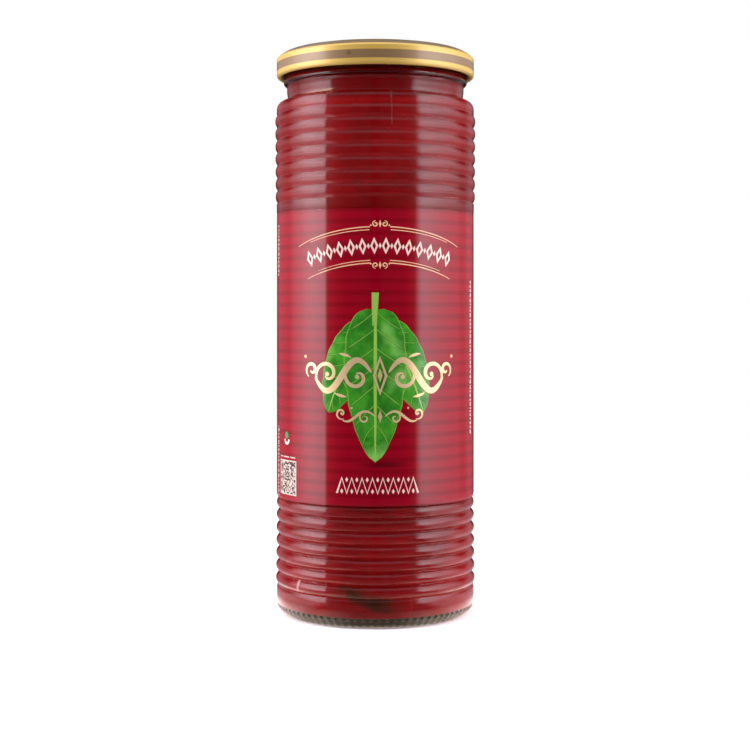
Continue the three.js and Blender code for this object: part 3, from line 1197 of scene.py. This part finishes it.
def print_label():
    """Each print as a piece of its own, a little higher where it lies over another."""
    slot = "label_print"
    arch_print().made("arch_print", slot, ink_material("peach_ink", PEACH))
    foil_print().made("foil_print", slot, foil_material(), 2 * PRINT_LIFT)
    cream_print().made("cream_print", slot, ink_material("cream_ink", CREAM))
    panel_print().made("panel_print", slot, ink_material("panel_ink", PANEL_CREAM))
    dark_print().made("code_print", slot, ink_material("dark_ink", CODE_DARK), 1.5 * PRINT_LIFT)
    badge = Print()
    badge.patch(disc(ICON_RUN, ICON_LEAF, 1.15, 20))
    badge.made("badge_print", slot, ink_material("green_ink", ICON_GREEN), 1.5 * PRINT_LIFT)
    green = leaf_material()
    for side, tag in ((-1, "left"), (1, "right")):
        leaf = Print()
        leaf.leaf((PRINT_MIDDLE - 1.4 + side * 0.8, 103.5), side * 27, 35.0, 7.6, side * 1.6)
        leaf.made("leaf_" + tag, slot, green, 0.6 * PRINT_LIFT)
    leaf = Print()
    leaf.leaf((PRINT_MIDDLE - 1.6, 107.0), 0.0, 51.0, 10.6, 0.0, 0.36)
    leaf.made("leaf_middle", slot, green, 1.2 * PRINT_LIFT)
    stem = Print()
    stem.strip(STEM_PATH, STEM_WIDTHS)
    stem.made("leaf_stem", slot, ink_material("stem_ink", LEAF_VEIN), 1.6 * PRINT_LIFT)


def print_lid():
    """The small ring on the lid's band."""
    mark = Print()
    outer, inner = (disc(LID_MARK_RUN, LID_MARK_HEIGHT, radius, 20) for radius in (0.62, 0.34))
    mark.ring(outer, inner)
    mark.made("lid_mark", "lid_gold", ink_material("lid_ink", LID_MARK), PRINT_LIFT, LID_RADIUS)


# What lies against the glass from inside

def sauce_reach(height):
    """The radius of the sauce at a height."""
    profile = inside_profile(-WALL_BITE, FILL_LEVEL)
    reach = 0.0
    for (inner, low), (outer, high) in zip(profile, profile[1:]):
        if low < high and low <= height <= high:
            reach = max(reach, lerp(inner, outer, (height - low) / (high - low)))
    return reach


def blade(name, path, halves, sunk, colour, soft):
    """A thin body at the edge of the sauce, of a colour that fades out at its own edges."""
    last = len(path) - 1
    rows = last * BLADE_STEPS
    points = []
    places = []
    for row in range(rows + 1):
        index = min(row // BLADE_STEPS, last - 1)
        share = row / BLADE_STEPS - index
        turn = lerp(path[index][0], path[index + 1][0], share)
        height = lerp(path[index][1], path[index + 1][1], share)
        half = lerp(halves[index], halves[index + 1], share)
        for column in range(BLADE_COLUMNS + 1):
            aside = 2 * column / BLADE_COLUMNS - 1
            rise = lerp(BLADE_PROUD, -sunk, aside * aside)
            level = max(height + half * aside, LOWEST_BLADE)
            points.append((math.radians(turn), level, sauce_reach(level / 1000) + rise))
            places.append((column / BLADE_COLUMNS, row / rows))
    faces = closed(grid(rows, BLADE_COLUMNS), len(points))
    points += [(turn, height, reach - BLADE_PROUD - 2 * sunk) for turn, height, reach in points]
    solid = [turned_to(turn, reach, height / 1000) for turn, height, reach in points]
    piece = new_object(name, solid, faces, sunk_material(name, colour, soft))
    set_places(piece, places)
    finished(piece, "passata")


def mould_seam(azimuth):
    """A fine raised line down the shoulder, where the halves of the mould met."""
    ridge = [point for point in jar_profile() if SEAM_LOW < point[1] < SHOULDER_TOP and point[0] > NECK_WAIST]
    turn = math.radians(azimuth)
    points = []
    for radius, height in ridge:
        for aside, lift in SEAM_SECTION:
            reach = radius + lift
            x = reach * math.sin(turn) + aside * math.cos(turn)
            y = -reach * math.cos(turn) + aside * math.sin(turn)
            points.append((x, y, height))
    faces = []
    for row in range(len(ridge) - 1):
        for side in range(4):
            low = 4 * row + side
            after = 4 * row + (side + 1) % 4
            faces.append((low, after, after + 4, low + 4))
    faces.append((3, 2, 1, 0))
    faces.append(tuple(4 * (len(ridge) - 1) + side for side in range(4)))
    # The clear glass ridge is drawn in opaque pale pink, a painted highlight
    seam = new_object("mould_seam_%d" % azimuth, points, faces, ink_material("seam_highlight", SEAM_HIGHLIGHT_PINK))
    finished(seam, "glass")


add_camera()
add_light()
add_floor()

finished(turned("glass_jar", jar_profile(), GLASS_SIDES, glass_material(), knurled), "glass", "jar")
sauce_profile = [*inside_profile(-WALL_BITE, FILL_LEVEL), (0.0, FILL_LEVEL)]
finished(turned("passata_fill", sauce_profile, SAUCE_SIDES, sauce_material()), "passata", "passata")
finished(turned("gold_lid", lid_profile(), LID_SIDES, lid_material()), "lid_gold", "lid")
finished(label_film(label_material()), "label_print", "label")
print_label()
print_lid()
blade("sunk_leaf", LEAF_PATH, LEAF_HALVES, LEAF_SINK, SUNK_GREEN, 0.85)
blade("orange_line", ORANGE_LINE_PATH, ORANGE_LINE_HALVES, FINE_SINK, ORANGE_LINE_COLOUR, 0.5)
# A small bubble against the glass, drawn as a painted highlight in pale pink
blade("bubble_highlight", BUBBLE_HIGHLIGHT_PATH, BUBBLE_HIGHLIGHT_HALVES, FINE_SINK, BUBBLE_HIGHLIGHT_PINK, 0.6)
for azimuth in (SEAM_FRONT, SEAM_FRONT + 180):
    mould_seam(azimuth)

bpy.context.scene.view_settings.view_transform = "Standard"
